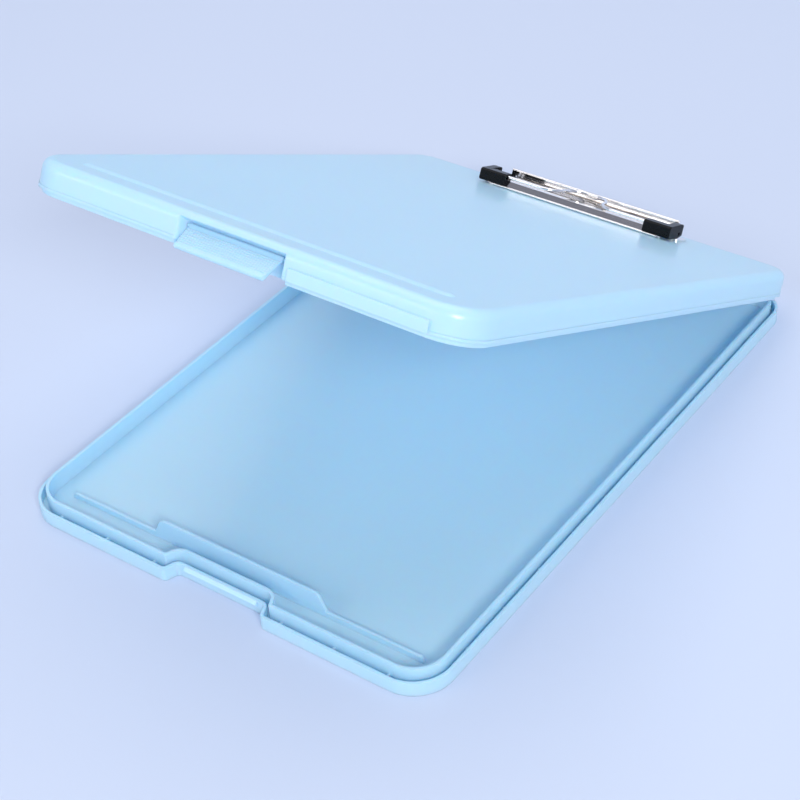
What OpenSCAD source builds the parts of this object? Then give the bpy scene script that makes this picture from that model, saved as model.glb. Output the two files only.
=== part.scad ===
// Storage clipboard box: a shallow tray, a hinged lid that is the writing board,
// a flap latch at the front and a low spring clip on top of the lid near the hinge.
// X runs across the front, Y from the latch to the hinge, Z up from the table.
// The lid is drawn in the half-open pose of the photograph.

/* [Tray] */
// Overall width of tray and lid
tray_width = 235; // [200:1:300]
// Overall length of tray and lid, without the hinge
tray_length = 330; // [290:1:400]
// Plan radius of the two front corners
front_corner_r = 20; // [14:0.5:26]
// Plan radius of the two rear corners
rear_corner_r = 13; // [11:0.5:20]
// Thickness of the tray floor
floor_t = 2.0; // [1.6:0.1:3]
// Height of the low outer wall
outer_wall_h = 7.5; // [6.5:0.1:10]
// Thickness of the outer wall
outer_wall_t = 1.5; // [1.2:0.1:2]
// Height of the inner wall
inner_wall_h = 11.6; // [10.5:0.1:15]
// Thickness of the inner wall
inner_wall_t = 1.6; // [1.2:0.1:2.2]
// Width of the groove along the sides and the rear
groove_side = 2.0; // [1.8:0.1:3]
// Width of the groove along the front
groove_front = 3.0; // [2.2:0.1:4]
// Distance between two ribs that cross the groove
rib_pitch = 29; // [20:1:40]
// Thickness of those ribs
rib_t = 1.2; // [0.8:0.1:2]
// Distance from the front face to the pen rail
pen_rail_y = 19.5; // [18:0.5:26]
// Height of the pen rail above the floor
pen_rail_h = 3.0; // [2:0.1:5]
// Height of the raised guard behind the latch, above the floor
guard_h = 12.0; // [8:0.5:14]
// Width of the raised guard at its top
guard_w = 90; // [60:1:110]

/* [Latch notch] */
// Width of the notch at the front face
notch_w = 56; // [54:1:80]
// Depth of the notch
notch_d = 7.0; // [6.6:0.1:8]
// Angle of the notch's sides to the front face
notch_jog = 68; // [50:1:80]
// Radius of the bends of the notch
notch_r = 2.5; // [1.5:0.1:4]
// Width of the catch bead on the notch wall
catch_w = 42; // [30:1:44]
// How far the catch bead stands out
catch_d = 1.3; // [1:0.1:1.4]

/* [Lid] */
// Height of the closed box
closed_h = 21; // [19:0.5:30]
// Wall thickness of the lid
lid_wall = 2.0; // [1.6:0.1:2.6]
// Radius of the rounded top edge
top_edge_r = 5; // [4:0.5:7]
// Height of the lip along the lid's lower edge
lip_h = 1.5; // [1:0.1:2.5]
// How far that lip stands out
lip_d = 0.35; // [0.1:0.05:0.6]
// Parting gap between the closed lid and the outer wall
parting_gap = 0.3; // [0.2:0.1:0.6]
// How far the sealing tongue reaches below the lid wall
tongue_h = 2.1; // [1.5:0.1:2.3]
// Thickness of the sealing tongue
tongue_t = 1.0; // [0.8:0.1:1.2]
// Distance from the front face to the embossed bead
bead_y = 18; // [14:0.5:30]
// Length of the embossed bead
bead_len = 196; // [120:1:200]
// Width of the embossed bead
bead_w = 7.0; // [4:0.5:8]
// Height of the embossed bead
bead_h = 1.0; // [0.4:0.1:1.2]
// Length of the raised lower band right of the latch
band_len = 69; // [40:1:70]
// Height of that band
band_h = 5.6; // [3:0.1:5.6]
// How far that band stands out
band_out = 0.8; // [0.4:0.1:1]
// Opening angle of the lid as drawn
lid_open = 27.8; // [0:0.1:110]

/* [Lid hinge] */
// Distance of the hinge axis behind the rear face
hinge_back = 6.0; // [5.6:0.1:8]
// Outer radius of the knuckles
knuckle_r = 4.6; // [3.6:0.1:5]
// Length of each knuckle
knuckle_len = 11; // [8:0.5:16]
// Distance of each hinge from its side face
hinge_inset = 45.5; // [36:0.5:60]
// Diameter of the steel hinge pins
hinge_pin_d = 3.0; // [2:0.1:3.4]

/* [Latch flap] */
// Width of the flap at its pivot
flap_w = 49.5; // [44:0.5:50]
// How much each side of the flap slopes inwards to its lower edge
flap_taper = 1.4; // [0:0.1:2]
// Length of the flap from its pivot to its lower edge
flap_len = 12.7; // [11:0.1:13.2]
// Distance from the front face to the flap's pivot
flap_set = 5.0; // [4.6:0.1:5.1]
// Thickness of the flap
flap_t = 1.4; // [1:0.1:1.8]
// Number of finger ribs
flap_ribs = 7; // [3:1:7]
// Angle of the flap as drawn, outwards from upright
flap_angle = 50; // [0:1:70]

/* [Clip] */
// Width of the clip over its end caps
clip_w = 118; // [110:1:140]
// Distance from the rear face to the front of the clip
clip_back = 34.5; // [32:0.5:60]
// Thickness of the clip's base plate
clip_base_t = 1.0; // [0.8:0.1:1.2]
// Thickness of the jaw's sheet steel
jaw_t = 0.8; // [0.6:0.1:1]
// Height of the clip above the lid
clip_h = 8.6; // [8.2:0.1:10]
// Depth of the jaw
jaw_depth = 21.5; // [19:0.5:23]
// Diameter of the spring wire
wire_d = 1.8; // [1.4:0.1:2]
// Length of each end cap along the jaw
cap_len = 16; // [12:0.5:20]
// Diameter of the clip's pivot pins
clip_pin_d = 1.8; // [1.4:0.1:2.2]
// Distance between the two rivets
rivet_pitch = 70; // [50:1:84]
// Diameter of a rivet's shank
rivet_d = 4.0; // [3:0.1:5]

/* [Fits] */
// Radial clearance of a pin that turns in its bore
running_fit = 0.06; // [0.03:0.01:0.1]
// Gap between pieces that move past each other
side_gap = 0.4; // [0.3:0.05:0.8]
// Gap between a fixed piece and its seat
seat_gap = 0.05; // [0:0.01:0.2]

/* [Hidden] */
$fn = 96;

colour_shell = [0.66, 0.86, 0.97];
colour_steel = [0.78, 0.79, 0.81];
colour_cap = [0.07, 0.07, 0.08];

half_w = tray_width / 2;
half_l = tray_length / 2;
eps = 0.01;

// Wall lines of the tray, as insets from the outer outline
inset_in_side = outer_wall_t + groove_side;
inset_in_front = outer_wall_t + groove_front;

// Hinge axis
hinge_y = half_l + hinge_back;
hinge_z = outer_wall_h;
hinge_x = half_w - hinge_inset;
knuckle_bore = hinge_pin_d + 2 * running_fit;

// Lid levels when it is closed
lid_bottom = outer_wall_h + parting_gap;
lid_roof = closed_h - lid_wall;

// Latch flap
recess_top = closed_h - 2.4;
flap_barrel_r = 0.9;
flap_stub_r = 0.6;
flap_y = -half_l + flap_set;
flap_z = closed_h - 6.4;
flap_stub_span = notch_w - 2 * flap_set / tan(notch_jog) + 2.2;
roof_low = flap_z + flap_barrel_r + 0.3;
roof_slope = (recess_top - roof_low) / (flap_set + 0.4);
catch_z = 4.9;

// Clip, measured from its front edge (v) and from the lid's top (w)
clip_front = half_l - clip_back;
pivot_v = 12.0;
pivot_w = 3.6;
wire_v = 3.2;
wire_w = 6.2;
hook_v = jaw_depth + 1.2;
hook_w = wire_w + 1.5;
roll_r = 0.9;
ear_x = clip_w / 2 - 6.6;
base_front_v = 3.0;
rivet_v = pivot_v - 4.5;
wire_gap = 0.3;
flange_v = hook_v + wire_d / 2 + wire_gap;
cap_wall_w = 4.4;
cap_depth = 16.0;
cap_front_t = 7.0;
cap_in_x = clip_w / 2 - cap_wall_w;
cap_under = clip_base_t + 0.2;
clip_pin_bore = clip_pin_d + 2 * running_fit;
jaw_half = ear_x - clip_base_t / 2 - side_gap;
jaw_side_t = 1.0;
jaw_lip_d = jaw_t + 0.3;
// Opening of the jaw, and how much the wire turns for each degree of it
jaw_open = 18;
wire_turn = 0.4;

// ---------- plan outlines ----------

// Rectangle with true round corners, front corners rf and rear corners rr
module round_rect(x, y0, y1, rf, rr) {
    union() {
        translate([-x + rf, y0]) square([2 * (x - rf), y1 - y0 - rr]);
        translate([-x + rr, y0 + rf]) square([2 * (x - rr), y1 - y0 - rf]);
        translate([-x, y0 + rf]) square([2 * x, y1 - y0 - rf - rr]);
        for (s = [-1, 1]) {
            translate([s * (x - rf), y0 + rf]) circle(r = rf);
            translate([s * (x - rr), y1 - rr]) circle(r = rr);
        }
    }
}

// Points of an arc from angle a0 to a1 about c
function arc_pts(c, r, a0, a1, n) =
    [for (i = [0 : n]) let (a = a0 + (a1 - a0) * i / n) [c[0] + r * cos(a), c[1] + r * sin(a)]];

// Right half of the notch void at an inset d from the outer outline (df at the
// front), from the middle of its back edge to the front. Depths run from the front face.
function notch_half(d, df) =
    let (side = sin(notch_jog),
         slant = 1 / tan(notch_jog),
         front_x = notch_w / 2 + d / side,
         rb = notch_r + d,
         back = notch_d + df - rb,
         rc = max(notch_r - d, 0.6),
         front = df + rc,
         cb = [front_x - back * slant - rb / side, back - half_l],
         cc = [front_x - front * slant + rc / side, front - half_l])
    concat(arc_pts(cb, rb, 90, 90 - notch_jog, 6),
           arc_pts(cc, rc, 270 - notch_jog, 262, 5),
           [[cc[0] + 1.0, df - half_l - 0.4]]);

// The whole void, closed well in front of the part
module notch_void(d, df) {
    h = notch_half(d, df);
    n = len(h);
    left = [for (i = [n - 1 : -1 : 0]) [-h[i][0], h[i][1]]];
    far = -half_l - 20;
    polygon(concat([[-h[n - 1][0], far]], left, h, [[h[n - 1][0], far]]));
}

// Outline at an inset d; df is the inset at the front
module outline(d, df) {
    difference() {
        round_rect(half_w - d, -half_l + df, half_l - d,
                   front_corner_r - d, rear_corner_r - d);
        notch_void(d, df);
    }
}

// ---------- tray ----------

module groove_rib(x, y, angle, length) {
    rib_top = lid_bottom - tongue_h - 0.5;
    translate([x, y, floor_t - eps])
        rotate([0, 0, angle])
            translate([-length / 2, -rib_t / 2, 0])
                cube([length, rib_t, rib_top - floor_t + eps]);
}

module tray_ribs() {
    reach = 0.6;
    side_mid = half_w - (outer_wall_t + inset_in_side) / 2;
    front_mid = -half_l + (outer_wall_t + inset_in_front) / 2;
    rear_mid = half_l - (outer_wall_t + inset_in_side) / 2;
    front_n = floor((half_w - front_corner_r - notch_w / 2 - 8) / rib_pitch);
    side_n = floor((tray_length - front_corner_r - rear_corner_r) / rib_pitch);
    rear_n = floor((tray_width - 2 * rear_corner_r - 8) / rib_pitch);
    for (s = [-1, 1]) {
        for (i = [0 : front_n])
            groove_rib(s * (notch_w / 2 + 9 + i * rib_pitch), front_mid, 90, groove_front + reach);
        for (i = [0 : side_n - 1])
            groove_rib(s * side_mid, (i - (side_n - 1) / 2) * rib_pitch, 0, groove_side + reach);
    }
    for (i = [0 : rear_n - 1])
        groove_rib((i - (rear_n - 1) / 2) * rib_pitch, rear_mid, 90, groove_side + reach);
}

// Low rail that keeps pens in front, with the tall guard behind the latch
module pen_rail() {
    y = -half_l + pen_rail_y;
    x_end = half_w - inset_in_side - inner_wall_t - 10;
    t = 1.6;
    slope = 8;
    translate([0, y + t, floor_t - eps])
        rotate([90, 0, 0])
            linear_extrude(t)
                polygon([[-x_end, 0], [x_end, 0], [x_end - 1.5, pen_rail_h],
                         [guard_w / 2 + slope - pen_rail_h, pen_rail_h],
                         [guard_w / 2 + 1.2, guard_h - 1.2], [guard_w / 2 - 1.2, guard_h],
                         [-guard_w / 2 + 1.2, guard_h], [-guard_w / 2 - 1.2, guard_h - 1.2],
                         [-guard_w / 2 - slope + pen_rail_h, pen_rail_h],
                         [-x_end + 1.5, pen_rail_h]]);
}

// Outer knuckles of both hinges, each on a web from the rear wall
module tray_knuckles() {
    r = knuckle_r;
    for (s = [-1, 1], k = [-1, 1])
        translate([s * hinge_x + k * (knuckle_len + side_gap) - knuckle_len / 2, 0, 0]) {
            rotate([90, 0, 90]) {
                linear_extrude(knuckle_len)
                    difference() {
                        union() {
                            translate([hinge_y, hinge_z]) circle(r = r);
                            polygon([[half_l - outer_wall_t, 0], [hinge_y - r * 0.7, 0],
                                     [hinge_y + r * 0.7, hinge_z - r * 0.7],
                                     [hinge_y - r * 0.2, hinge_z],
                                     [half_l - outer_wall_t, hinge_z - r * 0.2]]);
                        }
                        translate([hinge_y, hinge_z]) circle(d = hinge_pin_d);
                    }
            }
        }
}

module catch_bead() {
    y = -half_l + notch_d;
    top = outer_wall_h - 0.4;
    translate([-catch_w / 2, 0, 0])
        rotate([90, 0, 90])
            linear_extrude(catch_w)
                polygon([[y + 0.5, catch_z], [y - catch_d, catch_z],
                         [y - catch_d, catch_z + 0.8], [y, top], [y + 0.5, top]]);
}

module base_tray() {
    color(colour_shell)
    union() {
        linear_extrude(floor_t) outline(0, 0);
        linear_extrude(outer_wall_h)
            difference() {
                outline(0, 0);
                outline(outer_wall_t, outer_wall_t);
            }
        linear_extrude(inner_wall_h)
            difference() {
                outline(inset_in_side, inset_in_front);
                outline(inset_in_side + inner_wall_t, inset_in_front + inner_wall_t);
            }
        tray_ribs();
        pen_rail();
        tray_knuckles();
        catch_bead();
    }
}

// ---------- lid ----------

// Everything that belongs to the lid is drawn closed and swung open here
module at_lid() {
    translate([0, hinge_y, hinge_z])
        rotate([-lid_open, 0, 0])
            translate([0, -hinge_y, -hinge_z])
                children();
}

// Section of the rounded shoulder: a square with one corner rounded to r
module shoulder(r, w) {
    union() {
        square([w - r, r]);
        translate([w - r, 0])
            intersection() {
                circle(r = r);
                square([r, r]);
            }
    }
}

// Solid of half width x from y0 to y1 and z0 to z1 with a rounded top edge r
module dome(x, y0, y1, rf, rr, z0, z1, r) {
    zs = z1 - r;
    union() {
        translate([0, 0, z0]) linear_extrude(zs - z0) round_rect(x, y0, y1, rf, rr);
        translate([0, 0, zs]) {
            translate([-x + rf, y0 + r, 0]) cube([2 * (x - rf), y1 - y0 - 2 * r, r]);
            translate([-x + r, y0 + rf, 0]) cube([2 * (x - r), y1 - y0 - rf - rr, r]);
            translate([-x + rr, y1 - rr - 1, 0]) cube([2 * (x - rr), rr + 1 - r, r]);
            for (s = [-1, 1]) {
                translate([s * (x - r), y0 + rf, 0])
                    rotate([-90, 0, 0]) intersection() {
                        cylinder(r = r, h = y1 - y0 - rf - rr);
                        translate([-r, -r, 0]) cube([2 * r, r, y1 - y0]);
                    }
                translate([s * (x - rf), y0 + rf, 0])
                    rotate([0, 0, s > 0 ? -90 : 180])
                        rotate_extrude(angle = 90) shoulder(r, rf);
                translate([s * (x - rr), y1 - rr, 0])
                    rotate([0, 0, s > 0 ? 0 : 90])
                        rotate_extrude(angle = 90) shoulder(r, rr);
            }
            translate([-x + rf, y0 + r, 0])
                rotate([0, 90, 0]) intersection() {
                    cylinder(r = r, h = 2 * (x - rf));
                    translate([-r, -r, 0]) cube([r, r, 2 * x]);
                }
            translate([-x + rr, y1 - r, 0])
                rotate([0, 90, 0]) intersection() {
                    cylinder(r = r, h = 2 * (x - rr));
                    translate([-r, 0, 0]) cube([r, r, 2 * x]);
                }
        }
    }
}

// Outside of the lid, set back a little above the lip of its lower edge
module lid_outside() {
    dome(half_w - lip_d, -half_l + lip_d, half_l - lip_d,
         front_corner_r - lip_d, rear_corner_r - lip_d,
         lid_bottom, closed_h, top_edge_r - lip_d);
    translate([0, 0, lid_bottom])
        linear_extrude(lip_h)
            round_rect(half_w, -half_l, half_l, front_corner_r, rear_corner_r);
}

module lid_inside() {
    dome(half_w - lid_wall, -half_l + lid_wall, half_l - lid_wall,
         front_corner_r - lid_wall, rear_corner_r - lid_wall,
         lid_bottom - 1, lid_roof, top_edge_r - lid_wall);
}

module lid_knuckles() {
    r = knuckle_r;
    reach_y = half_l - lid_wall;
    for (s = [-1, 1])
        translate([s * hinge_x - knuckle_len / 2, 0, 0])
            rotate([90, 0, 90])
                linear_extrude(knuckle_len)
                    difference() {
                        union() {
                            translate([hinge_y, hinge_z]) circle(r = r);
                            polygon([[reach_y, lid_bottom + 0.2], [hinge_y - r * 0.5, lid_bottom + 0.2],
                                     [hinge_y + r * 0.7, hinge_z + r * 0.7],
                                     [half_l, hinge_z + r * 1.6], [reach_y, hinge_z + r * 1.6]]);
                        }
                        translate([hinge_y, hinge_z]) circle(d = knuckle_bore);
                    }
}

// Tongue under the lid wall that sits in the groove, on a small inner ledge
module lid_tongue() {
    d = outer_wall_t + (groove_side - tongue_t) / 2;
    translate([0, 0, lid_bottom - tongue_h])
        linear_extrude(tongue_h + eps)
            difference() {
                outline(d, d);
                outline(d + tongue_t, d + tongue_t);
            }
    translate([0, 0, lid_bottom])
        linear_extrude(1.2)
            difference() {
                outline(lid_wall / 2, lid_wall / 2);
                outline(d + tongue_t, d + tongue_t);
            }
}

// Front recess for the flap: the notch outline, under a roof that slopes down to the pivot
module flap_recess() {
    front = -half_l - 2;
    back = -half_l + notch_d + 1;
    low = lid_bottom - 10;
    intersection() {
        translate([0, 0, low]) linear_extrude(closed_h - low) notch_void(0, 0);
        along_x(notch_w + 10)
            polygon([[front, low], [back, low], [back, roof_low], [flap_y + 0.4, roof_low],
                     [front, recess_top + 2 * roof_slope]]);
    }
}

// Wall and roof behind the recess, trimmed to the lid's rounded outside
module recess_wall() {
    roof_t = 1.6;
    x = notch_w / 2 + notch_r;
    back = -half_l + notch_d + lid_wall;
    front_z = recess_top + 2 * roof_slope;
    difference() {
        intersection() {
            union() {
                translate([0, 0, lid_bottom])
                    linear_extrude(closed_h - lid_bottom)
                        intersection() {
                            difference() {
                                outline(0, 0);
                                outline(lid_wall, lid_wall);
                            }
                            translate([-x, -half_l - 1])
                                square([2 * x, notch_d + lid_wall + 2]);
                        }
                along_x(notch_w + 2)
                    polygon([[-half_l - 2, front_z - 0.1], [flap_y, roof_low - 0.1],
                             [back, roof_low - 0.1], [back, roof_low + roof_t],
                             [flap_y + 0.4, roof_low + roof_t], [-half_l - 2, front_z + roof_t]]);
            }
            lid_outside();
        }
        flap_recess();
    }
}

module top_bead() {
    r = bead_w / 2;
    y = -half_l + bead_y;
    z = closed_h - eps;
    h = bead_h + eps;
    chord_r = (r * r + h * h) / (2 * h);
    translate([0, y, z])
        intersection() {
            translate([-bead_len / 2, -r, 0]) cube([bead_len, bead_w, h]);
            union() {
                translate([-bead_len / 2 + r, 0, h - chord_r])
                    rotate([0, 90, 0]) cylinder(r = chord_r, h = bead_len - bead_w);
                for (s = [-1, 1])
                    translate([s * (bead_len / 2 - r), 0, h - chord_r]) sphere(r = chord_r);
            }
        }
}

// Raised band along the lower edge, right of the latch, with a rounded top edge
module front_band() {
    x0 = notch_w / 2 + 3;
    translate([x0 + band_len / 2, -half_l, lid_bottom])
        along_x(band_len)
            union() {
                translate([-band_out, 0]) square([band_out + lid_wall / 2, band_h - band_out]);
                translate([0, band_h - band_out]) circle(r = band_out);
            }
}

module lid_shell() {
    color(colour_shell)
    at_lid()
    difference() {
        union() {
            difference() {
                lid_outside();
                lid_inside();
                flap_recess();
            }
            recess_wall();
            lid_tongue();
            lid_knuckles();
            top_bead();
            front_band();
        }
        // sockets of the flap's stub pivots
        translate([0, flap_y, flap_z])
            along_x(flap_stub_span + 2 * side_gap) circle(r = flap_stub_r + running_fit);
        rivet_holes();
    }
}

// ---------- latch flap ----------

// Side view of the flap, hanging from its barrel at (0, 0); the first axis points
// inwards. It has finger ribs outside and a lip along its lower edge.
module flap_section() {
    rib_h = 0.35;
    face = -flap_barrel_r;
    back = face + flap_t;
    rib_step = (flap_len - 4.2) / flap_ribs;
    ribs = [for (i = [0 : flap_ribs - 1])
                let (top = -2.3 - i * rib_step, low = top - rib_step * 0.5)
                for (q = [[face, top], [face - rib_h, top - 0.1],
                          [face - rib_h, low + 0.1], [face, low]]) q];
    union() {
        circle(r = flap_barrel_r);
        polygon(concat([[back, -flap_len - 0.6], [back, 0], [face, 0]],
                       ribs,
                       [[face, -flap_len + 1.3], [face - 0.7, -flap_len + 1.0],
                        [face - 0.7, -flap_len - 0.2], [face, -flap_len - 0.6]]));
    }
}

// Tooth inside the flap that snaps under the catch bead
module flap_tooth() {
    back = flap_t - flap_barrel_r;
    tip = notch_d - flap_set - 0.2;
    top = -(flap_z - catch_z + 0.3);
    polygon([[back - 0.6, top], [tip, top], [tip, top - 0.4], [back - 0.6, top - 1.8]]);
}

module latch_flap() {
    color(colour_shell)
    at_lid()
    translate([0, flap_y, flap_z])
        rotate([-flap_angle, 0, 0]) {
            intersection() {
                along_x(flap_w) flap_section();
                translate([0, flap_t + 1, 0])
                    rotate([90, 0, 0])
                        linear_extrude(2 * flap_t + 2)
                            polygon([[-flap_w / 2, 2], [flap_w / 2, 2],
                                     [flap_w / 2 - flap_taper, -flap_len - 1],
                                     [-flap_w / 2 + flap_taper, -flap_len - 1]]);
            }
            along_x(catch_w) flap_tooth();
            along_x(flap_stub_span) circle(r = flap_stub_r);
        }
}

// ---------- hinge pins ----------

module hinge_pin(side) {
    length = 3 * knuckle_len + 2 * side_gap - 1;
    color(colour_steel)
    translate([side * hinge_x - length / 2, hinge_y, hinge_z])
        rotate([0, 90, 0])
            cylinder(d = hinge_pin_d - seat_gap, h = length);
}

module hinge_pin_left() {
    hinge_pin(-1);
}

module hinge_pin_right() {
    hinge_pin(1);
}

// ---------- clip ----------

// Clip pieces are drawn with v to the rear and w up, from the clip's front edge
module at_clip() {
    at_lid()
        translate([0, clip_front, closed_h])
            children();
}

// Extrudes a (v, w) section along x over the length, centred
module along_x(length) {
    translate([-length / 2, 0, 0])
        rotate([90, 0, 90])
            linear_extrude(length) children();
}

module rivet_holes() {
    for (s = [-1, 1])
        translate([s * rivet_pitch / 2, clip_front + rivet_v, closed_h - lid_wall - 1])
            cylinder(d = rivet_d + 2 * seat_gap, h = lid_wall + 2);
}

module clip_base_plate() {
    foot_r = 4;
    foot_out = 2.5;
    foot_run = 4;
    flange_x = ear_x;
    tab_t = 0.7;
    color(colour_steel)
    at_clip()
    difference() {
        union() {
            // flat plate with rounded feet at its ends
            translate([-ear_x - 0.5, base_front_v, 0])
                cube([2 * ear_x + 1, flange_v + clip_base_t - base_front_v, clip_base_t]);
            for (s = [0, 1])
                mirror([s, 0, 0])
                    translate([clip_w / 2 + foot_out - foot_r, pivot_v + 1, 0]) {
                        cylinder(r = foot_r, h = clip_base_t);
                        translate([0, foot_run, 0]) cylinder(r = foot_r, h = clip_base_t);
                        translate([-8, -foot_r, 0]) cube([8, 2 * foot_r + foot_run, clip_base_t]);
                        translate([-1, 0, 0]) cube([foot_r + 1, foot_run, clip_base_t]);
                    }
            // upturned rear flange with its rolled edge
            along_x(2 * flange_x)
                union() {
                    translate([flange_v, 0]) square([clip_base_t, clip_h - roll_r]);
                    translate([flange_v + roll_r, clip_h - roll_r]) circle(r = roll_r);
                }
            // tab of the flange under the middle of the wire
            translate([-3, hook_v - wire_d, hook_w - wire_d / 2 - wire_gap - tab_t])
                cube([6, flange_v - hook_v + wire_d + eps, tab_t]);
            // ears that carry the pivot pins
            for (s = [-1, 1])
                translate([s * ear_x, 0, 0])
                    along_x(clip_base_t)
                        union() {
                            translate([pivot_v - 3, 0]) square([6, pivot_w]);
                            translate([pivot_v, pivot_w]) circle(r = 3);
                        }
        }
        // pivot bores in the ears
        translate([-ear_x - 2, pivot_v, pivot_w])
            rotate([0, 90, 0]) cylinder(d = clip_pin_d, h = 2 * ear_x + 4);
        for (s = [-1, 1])
            translate([s * rivet_pitch / 2, rivet_v, -1])
                cylinder(d = rivet_d + 2 * seat_gap, h = clip_base_t + 2);
    }
}

module clip_rivets() {
    head_t = 1.0;
    tail_t = 0.8;
    color(colour_steel)
    at_clip()
    for (s = [-1, 1])
        translate([s * rivet_pitch / 2, rivet_v, 0]) {
            translate([0, 0, -lid_wall - tail_t])
                cylinder(d = rivet_d, h = lid_wall + tail_t + clip_base_t + head_t - 0.2);
            translate([0, 0, clip_base_t + seat_gap / 2])
                cylinder(d1 = rivet_d + 3.5, d2 = rivet_d + 1.5, h = head_t);
            translate([0, 0, -lid_wall - tail_t - seat_gap / 2])
                cylinder(d = rivet_d + 3, h = tail_t);
        }
}

module clip_pivot_pin(side) {
    inner = jaw_half - jaw_side_t - 0.3;
    outer = clip_w / 2 - 1.0;
    color(colour_steel)
    at_clip()
    translate([side > 0 ? inner : -outer, pivot_v, pivot_w])
        rotate([0, 90, 0])
            cylinder(d = clip_pin_d - seat_gap, h = outer - inner);
}

module clip_pivot_pin_left() {
    clip_pivot_pin(-1);
}

module clip_pivot_pin_right() {
    clip_pivot_pin(1);
}

// Middle line of the jaw's bent sheet: lip, steep front, wire seat, sloping top
function jaw_path() = [[0.9, 0.75], [2.2, 0.75], [3.6, 3.7], [5.6, 3.3], [jaw_depth - 1, 4.3]];

function unit(v) = v / norm(v);

function left_of(v) = [-v[1], v[0]];

// Offset of point i of a path to its left, mitred at the bends
function side_pt(p, i, d) =
    let (a = unit(p[max(i, 1)] - p[max(i, 1) - 1]),
         b = unit(p[min(i, len(p) - 2) + 1] - p[min(i, len(p) - 2)]),
         m = unit(left_of(a) + left_of(b)))
    p[i] + m * d / (m * left_of(a));

// Outline of a sheet of thickness t that follows a path
module bent_sheet(p, t) {
    n = len(p);
    polygon(concat([for (i = [0 : n - 1]) side_pt(p, i, t / 2)],
                   [for (i = [n - 1 : -1 : 0]) side_pt(p, i, -t / 2)]));
}

module clip_jaw() {
    cheek_v = cap_front_t + side_gap;
    color(colour_steel)
    at_clip()
    difference() {
        union() {
            along_x(2 * jaw_half) bent_sheet(jaw_path(), jaw_t);
            along_x(2 * jaw_half) translate(jaw_path()[0]) circle(d = jaw_lip_d);
            for (s = [-1, 1])
                translate([s * (jaw_half - jaw_side_t / 2), 0, 0])
                    along_x(jaw_side_t)
                        union() {
                            polygon([[cheek_v, 1.9], [cheek_v, 3.4],
                                     [pivot_v + 2.6, 3.8], [pivot_v + 1.9, pivot_w],
                                     [pivot_v, pivot_w - 1.9]]);
                            translate([pivot_v, pivot_w]) circle(r = 1.9);
                        }
        }
        translate([-ear_x, pivot_v, pivot_w])
            rotate([0, 90, 0]) cylinder(d = clip_pin_bore, h = 2 * ear_x);
    }
}

// Straight piece of wire of radius r, from 0 along x
module wire_run(r, length) {
    rotate([0, 90, 0]) cylinder(r = r, h = length);
}

// Spring wire: a leg in each cap and a bow between them that climbs to the rear
module clip_spring_wire() {
    r = wire_d / 2;
    rise = hook_w - wire_w;
    hump = norm([hook_v - wire_v, rise]);
    half_run = 23;
    hook_half = 2;
    sleeve_r = r + 0.02;
    sleeve_half = 0.15;
    theta = 2 * atan(hump / (half_run - hook_half));
    bend_r = hump / 2 / (1 - cos(theta));
    mid = [(half_run + hook_half) / 2, hump / 2, 0];
    leg_end = cap_in_x - 1.0;
    $fn = 32;
    color(colour_steel)
    at_clip()
    translate([0, wire_v, wire_w])
        rotate([asin(rise / hump), 0, 0]) {
            translate([-hook_half, hump, 0]) wire_run(r, 2 * hook_half);
            for (s = [-1, 1]) {
                translate([s > 0 ? half_run : -leg_end, 0, 0]) wire_run(r, leg_end - half_run);
                translate([s * half_run, bend_r, 0])
                    rotate([0, 0, s > 0 ? -90 - theta : -90])
                        rotate_extrude(angle = theta) translate([bend_r, 0]) circle(r = r);
                translate([s * hook_half, hump - bend_r, 0])
                    rotate([0, 0, s > 0 ? 90 - theta : 90])
                        rotate_extrude(angle = theta) translate([bend_r, 0]) circle(r = r);
                // short sleeves that join the bends
                translate([s * half_run - sleeve_half, 0, 0]) wire_run(sleeve_r, 2 * sleeve_half);
                translate([s * hook_half - sleeve_half, hump, 0])
                    wire_run(sleeve_r, 2 * sleeve_half);
                translate([s * mid[0], mid[1], 0])
                    rotate([0, 0, -s * theta])
                        translate([-sleeve_half, 0, 0]) wire_run(sleeve_r, 2 * sleeve_half);
            }
        }
}

// Turn of a (v, w) point about c; positive lifts what lies in front of c
function turned(p, c, a) =
    c + [(p[0] - c[0]) * cos(a) + (p[1] - c[1]) * sin(a),
         (p[1] - c[1]) * cos(a) - (p[0] - c[0]) * sin(a)];

// Where the leg of the wire sits in the cap when the jaw is open by the angle a
function leg_at(a) =
    turned(turned([wire_v, wire_w], [hook_v, hook_w], a * wire_turn), [pivot_v, pivot_w], -a);

// Slot in the cap along which the leg slides while the jaw opens
module wire_slot() {
    r = wire_d / 2 + running_fit;
    steps = 4;
    for (i = [0 : steps])
        translate(leg_at(jaw_open * i / steps)) circle(r = r);
    for (i = [0 : steps - 1]) {
        a = leg_at(jaw_open * i / steps);
        b = leg_at(jaw_open * (i + 1) / steps);
        side = left_of(unit(b - a)) * r;
        polygon([a + side, b + side, b - side, a - side]);
    }
}

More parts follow.
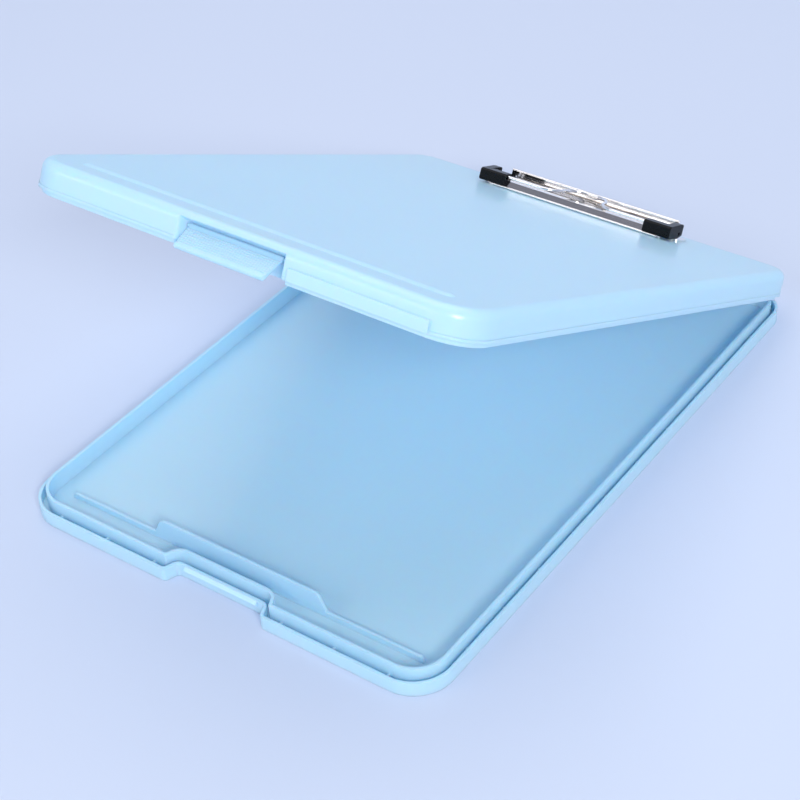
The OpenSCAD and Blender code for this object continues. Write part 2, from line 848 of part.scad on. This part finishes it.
// L-shaped end cap: an arm over the jaw's front and a block over its end
module end_cap(side) {
    arm = cap_len - cap_wall_w;
    top = clip_h;
    heel_w = 2.7;
    color(colour_cap)
    at_clip()
    mirror([side < 0 ? 1 : 0, 0, 0])
    difference() {
        union() {
            // end block, rising a little to the rear, with a raised heel
            translate([cap_in_x, 0, 0])
                rotate([90, 0, 90])
                    linear_extrude(cap_wall_w)
                        polygon([[0.2, 1.9], [0.8, cap_under], [pivot_v - 0.5, cap_under],
                                 [cap_depth, heel_w], [cap_depth, top - 0.7],
                                 [cap_depth - 0.9, top], [cap_depth - 3, top],
                                 [1.2, top - 0.9], [0.2, top - 1.9]]);
            // arm along the front
            translate([cap_in_x - arm, 0, 0])
                rotate([90, 0, 90])
                    linear_extrude(arm + eps)
                        polygon([[0.2, 1.9], [0.8, cap_under], [cap_front_t, cap_under],
                                 [cap_front_t, top - 1.3], [cap_front_t - 0.7, top - 0.6],
                                 [1.2, top - 0.9], [0.2, top - 1.9]]);
        }
        // slot for the jaw
        translate([cap_in_x - arm - 1, 0, 0])
            rotate([90, 0, 90])
                linear_extrude(jaw_half + seat_gap - (cap_in_x - arm - 1)) {
                    bent_sheet(jaw_path(), jaw_t + 2 * seat_gap);
                    translate(jaw_path()[0]) circle(d = jaw_lip_d + 2 * seat_gap);
                }
        // slot for the leg of the wire
        translate([cap_in_x - arm - 1, 0, 0])
            rotate([90, 0, 90])
                linear_extrude(arm + 0.4) wire_slot();
        // pivot bore
        translate([cap_in_x - 1, pivot_v, pivot_w])
            rotate([0, 90, 0]) cylinder(d = clip_pin_bore, h = cap_wall_w + 2);
    }
}

module clip_end_cap_left() {
    end_cap(-1);
}

module clip_end_cap_right() {
    end_cap(1);
}

base_tray();
lid_shell();
latch_flap();
hinge_pin_left();
hinge_pin_right();
clip_base_plate();
clip_rivets();
clip_pivot_pin_left();
clip_pivot_pin_right();
clip_jaw();
clip_spring_wire();
clip_end_cap_left();
clip_end_cap_right();
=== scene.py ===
import math

import bpy
from mathutils import Matrix, Vector

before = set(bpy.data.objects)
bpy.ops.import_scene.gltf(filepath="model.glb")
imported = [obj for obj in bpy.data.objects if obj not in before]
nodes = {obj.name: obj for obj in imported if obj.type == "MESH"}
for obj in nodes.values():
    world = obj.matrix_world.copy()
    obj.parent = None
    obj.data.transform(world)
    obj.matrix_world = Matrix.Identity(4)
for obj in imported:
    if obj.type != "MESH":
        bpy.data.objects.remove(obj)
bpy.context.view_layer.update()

# Lengths are in metres and powers in watts, unless a comment says otherwise.

# ---------- materials ----------

MOULDED_EDGE = 0.0006     # radius that a mould leaves on plastic edges
PRESSED_EDGE = 0.0002     # radius on sheet steel, wire and pins
EDGE_SAMPLES = 4
PLASTIC_GRAIN = 0.00004   # depth of the grain on the plastics
METAL_BRUSHING = 0.00001  # depth of the brushing on the metals
BRUSH_STRETCH = (1, 60, 60)  # the brushing runs along X
SPREAD = (0.3, 0.7)       # the part of a noise's range that a ramp covers


def new_material(name):
    """Material with an empty Principled shader."""
    mat = bpy.data.materials.new(name)
    mat.use_nodes = True
    nt = mat.node_tree
    nt.nodes.clear()
    out = nt.nodes.new("ShaderNodeOutputMaterial")
    bsdf = nt.nodes.new("ShaderNodeBsdfPrincipled")
    nt.links.new(bsdf.outputs["BSDF"], out.inputs["Surface"])
    return mat, nt, bsdf


def noise(nt, scale, detail, rough=0.55, stretch=(1, 1, 1)):
    """Noise in the piece's own coordinates; returns its height socket."""
    coord = nt.nodes.new("ShaderNodeTexCoord")
    mapping = nt.nodes.new("ShaderNodeMapping")
    mapping.inputs["Scale"].default_value = stretch
    tex = nt.nodes.new("ShaderNodeTexNoise")
    tex.inputs["Scale"].default_value = scale
    tex.inputs["Detail"].default_value = detail
    tex.inputs["Roughness"].default_value = rough
    nt.links.new(coord.outputs["Object"], mapping.inputs["Vector"])
    nt.links.new(mapping.outputs["Vector"], tex.inputs["Vector"])
    return tex.outputs["Fac"]


def ramp(nt, source, stops, target):
    """Colour ramp from a socket to a target socket; stops are (position, colour)."""
    node = nt.nodes.new("ShaderNodeValToRGB")
    elements = node.color_ramp.elements
    for element, (position, color) in zip(elements, (stops[0], stops[-1])):
        element.position, element.color = position, (*color, 1)
    for position, color in stops[1:-1]:
        elements.new(position).color = (*color, 1)
    nt.links.new(source, node.inputs["Fac"])
    nt.links.new(node.outputs["Color"], target)


def vary_color(nt, bsdf, source, low, high):
    ramp(nt, source, list(zip(SPREAD, (low, high))), bsdf.inputs["Base Color"])


def vary_roughness(nt, bsdf, source, low, high):
    greys = [(value,) * 3 for value in (low, high)]
    ramp(nt, source, list(zip(SPREAD, greys)), bsdf.inputs["Roughness"])


def surface(nt, bsdf, height, strength, depth, edge):
    """Fine relief from a height socket, on edges that are shaded round."""
    rounded = nt.nodes.new("ShaderNodeBevel")
    rounded.samples = EDGE_SAMPLES
    rounded.inputs["Radius"].default_value = edge
    relief = nt.nodes.new("ShaderNodeBump")
    relief.inputs["Strength"].default_value = strength
    relief.inputs["Distance"].default_value = depth
    nt.links.new(height, relief.inputs["Height"])
    nt.links.new(rounded.outputs["Normal"], relief.inputs["Normal"])
    nt.links.new(relief.outputs["Normal"], bsdf.inputs["Normal"])


def shell_plastic():
    """Light-blue moulded plastic: faint mottling, fine grain, a soft glow within."""
    mat, nt, bsdf = new_material("shell_plastic")
    mottling = noise(nt, scale=9.0, detail=3.0)
    vary_color(nt, bsdf, mottling, low=(0.49, 0.755, 0.94), high=(0.50, 0.765, 0.945))
    grain = noise(nt, scale=1400.0, detail=2.0)
    vary_roughness(nt, bsdf, grain, low=0.33, high=0.37)
    surface(nt, bsdf, grain, 0.08, PLASTIC_GRAIN, MOULDED_EDGE)
    bsdf.inputs["IOR"].default_value = 1.5
    bsdf.inputs["Coat Weight"].default_value = 0.2
    bsdf.inputs["Coat Roughness"].default_value = 0.1
    bsdf.inputs["Subsurface Weight"].default_value = 0.35
    bsdf.inputs["Subsurface Radius"].default_value = (0.0015, 0.005, 0.008)
    bsdf.inputs["Subsurface Scale"].default_value = 1.0
    return mat


def plated_steel(name, base, dark, rough):
    """Plated steel, faintly brushed along X."""
    mat, nt, bsdf = new_material(name)
    brush = noise(nt, scale=220.0, detail=5.0, rough=0.6, stretch=BRUSH_STRETCH)
    mottling = noise(nt, scale=60.0, detail=3.0)
    vary_color(nt, bsdf, mottling, low=dark, high=base)
    vary_roughness(nt, bsdf, brush, low=rough, high=rough + 0.06)
    surface(nt, bsdf, brush, 0.08, METAL_BRUSHING, PRESSED_EDGE)
    bsdf.inputs["Metallic"].default_value = 1.0
    return mat


def cap_plastic():
    """Black moulded plastic; its low IOR keeps the reflections dark."""
    mat, nt, bsdf = new_material("cap_plastic")
    grain = noise(nt, scale=900.0, detail=3.0)
    vary_color(nt, bsdf, grain, low=(0.002, 0.003, 0.004), high=(0.004, 0.005, 0.007))
    vary_roughness(nt, bsdf, grain, low=0.16, high=0.22)
    surface(nt, bsdf, grain, 0.15, PLASTIC_GRAIN, MOULDED_EDGE)
    bsdf.inputs["IOR"].default_value = 1.22
    return mat


shell = shell_plastic()
plate_steel = plated_steel("clip_plate_steel", (0.90, 0.88, 0.86), (0.84, 0.82, 0.80), 0.08)
wire_steel = plated_steel("clip_wire_steel", (0.93, 0.92, 0.91), (0.88, 0.87, 0.86), 0.06)
pin_steel = plated_steel("pin_steel", (0.6, 0.6, 0.6), (0.5, 0.5, 0.5), 0.28)
cap_black = cap_plastic()

finish = {
    "base_tray": shell,
    "lid_shell": shell,
    "latch_flap": shell,
    "hinge_pin_left": pin_steel,
    "hinge_pin_right": pin_steel,
    "clip_base_plate": plate_steel,
    "clip_rivets": pin_steel,
    "clip_pivot_pin_left": pin_steel,
    "clip_pivot_pin_right": pin_steel,
    "clip_jaw": plate_steel,
    "clip_spring_wire": wire_steel,
    "clip_end_cap_left": cap_black,
    "clip_end_cap_right": cap_black,
}
for name, obj in nodes.items():
    for slot in obj.material_slots:
        slot.material = finish[name]

# ---------- stage ----------

FLOOR_REACH = 6.0
LIGHT_TARGET = (0, 0, 0.05)
LIGHTS = {  # name: (position, width and height, power, colour)
    "key": ((1.7, -1.4, 1.5), (0.8, 0.6), 36, (1.0, 0.96, 0.92)),
    "top": ((-0.3, 0.8, 2.2), (2.4, 2.4), 31, (0.96, 0.96, 1.0)),
    "front": ((-0.95, -1.55, 1.0), (1.5, 0.8), 9, (1.0, 0.96, 0.94)),
}
SKY = [(0.0, (0.66, 0.74, 0.95)), (0.35, (0.56, 0.62, 0.80)), (0.75, (0.20, 0.21, 0.26))]


def floor():
    mesh = bpy.data.meshes.new("floor")
    r = FLOOR_REACH
    mesh.from_pydata([(-r, -r, 0), (r, -r, 0), (r, r, 0), (-r, r, 0)], [], [(0, 1, 2, 3)])
    obj = bpy.data.objects.new("floor", mesh)
    bpy.context.scene.collection.objects.link(obj)
    mat, nt, bsdf = new_material("floor")
    mottling = noise(nt, scale=1.2, detail=2.0)
    vary_color(nt, bsdf, mottling, low=(0.60, 0.68, 0.82), high=(0.61, 0.69, 0.83))
    bsdf.inputs["Roughness"].default_value = 0.6
    mesh.materials.append(mat)


def area_light(name, position, size, power, color):
    data = bpy.data.lights.new(name, "AREA")
    data.shape = "RECTANGLE"
    data.size, data.size_y = size
    data.energy = power
    data.color = color
    obj = bpy.data.objects.new(name, data)
    bpy.context.scene.collection.objects.link(obj)
    aim = Vector(LIGHT_TARGET) - Vector(position)
    turn = aim.to_track_quat("-Z", "Y").to_matrix().to_4x4()
    obj.matrix_world = Matrix.Translation(position) @ turn


def studio_world():
    """Pale blue sweep that is brightest at the horizon and dims towards the ceiling."""
    world = bpy.data.worlds.new("studio")
    world.use_nodes = True
    nt = world.node_tree
    coord = nt.nodes.new("ShaderNodeTexCoord")
    split = nt.nodes.new("ShaderNodeSeparateXYZ")
    nt.links.new(coord.outputs["Generated"], split.inputs["Vector"])
    background = nt.nodes["Background"]
    ramp(nt, split.outputs["Z"], SKY, background.inputs["Color"])
    background.inputs["Strength"].default_value = 1.0
    bpy.context.scene.world = world


floor()
for name, (position, size, power, color) in LIGHTS.items():
    area_light(name, position, size, power, color)
studio_world()
bpy.context.scene.view_settings.view_transform = "Standard"

# ---------- camera, solved from the straight edges in the photo ----------

CAM_POSITION = Vector((0.45516, -0.60146, 0.60360))
AZIMUTH = math.radians(-37.944)    # of the view direction, from +Y towards +X
DEPRESSION = math.radians(38.395)  # of the view direction, below the horizon
ROLL = math.radians(-4.093)
FOCAL_LENGTH = 1926.8              # pixels of the photo
PHOTO_WIDTH = 800                  # pixels
SENSOR_WIDTH = 36.0                # millimetres
CLIP_START = 0.01


def camera():
    forward = Vector((math.sin(AZIMUTH) * math.cos(DEPRESSION),
                      math.cos(AZIMUTH) * math.cos(DEPRESSION),
                      -math.sin(DEPRESSION)))
    level_right = Vector((math.cos(AZIMUTH), -math.sin(AZIMUTH), 0))
    level_up = level_right.cross(forward)
    right = level_right * math.cos(ROLL) + level_up * math.sin(ROLL)
    up = right.cross(forward)
    data = bpy.data.cameras.new("camera")
    data.sensor_fit = "HORIZONTAL"
    data.sensor_width = SENSOR_WIDTH
    data.lens = FOCAL_LENGTH / PHOTO_WIDTH * SENSOR_WIDTH
    data.clip_start = CLIP_START
    obj = bpy.data.objects.new("camera", data)
    bpy.context.scene.collection.objects.link(obj)
    turn = Matrix((right, up, -forward)).transposed().to_4x4()
    obj.matrix_world = Matrix.Translation(CAM_POSITION) @ turn
    bpy.context.scene.camera = obj


camera()

bpy.context.view_layer.update()
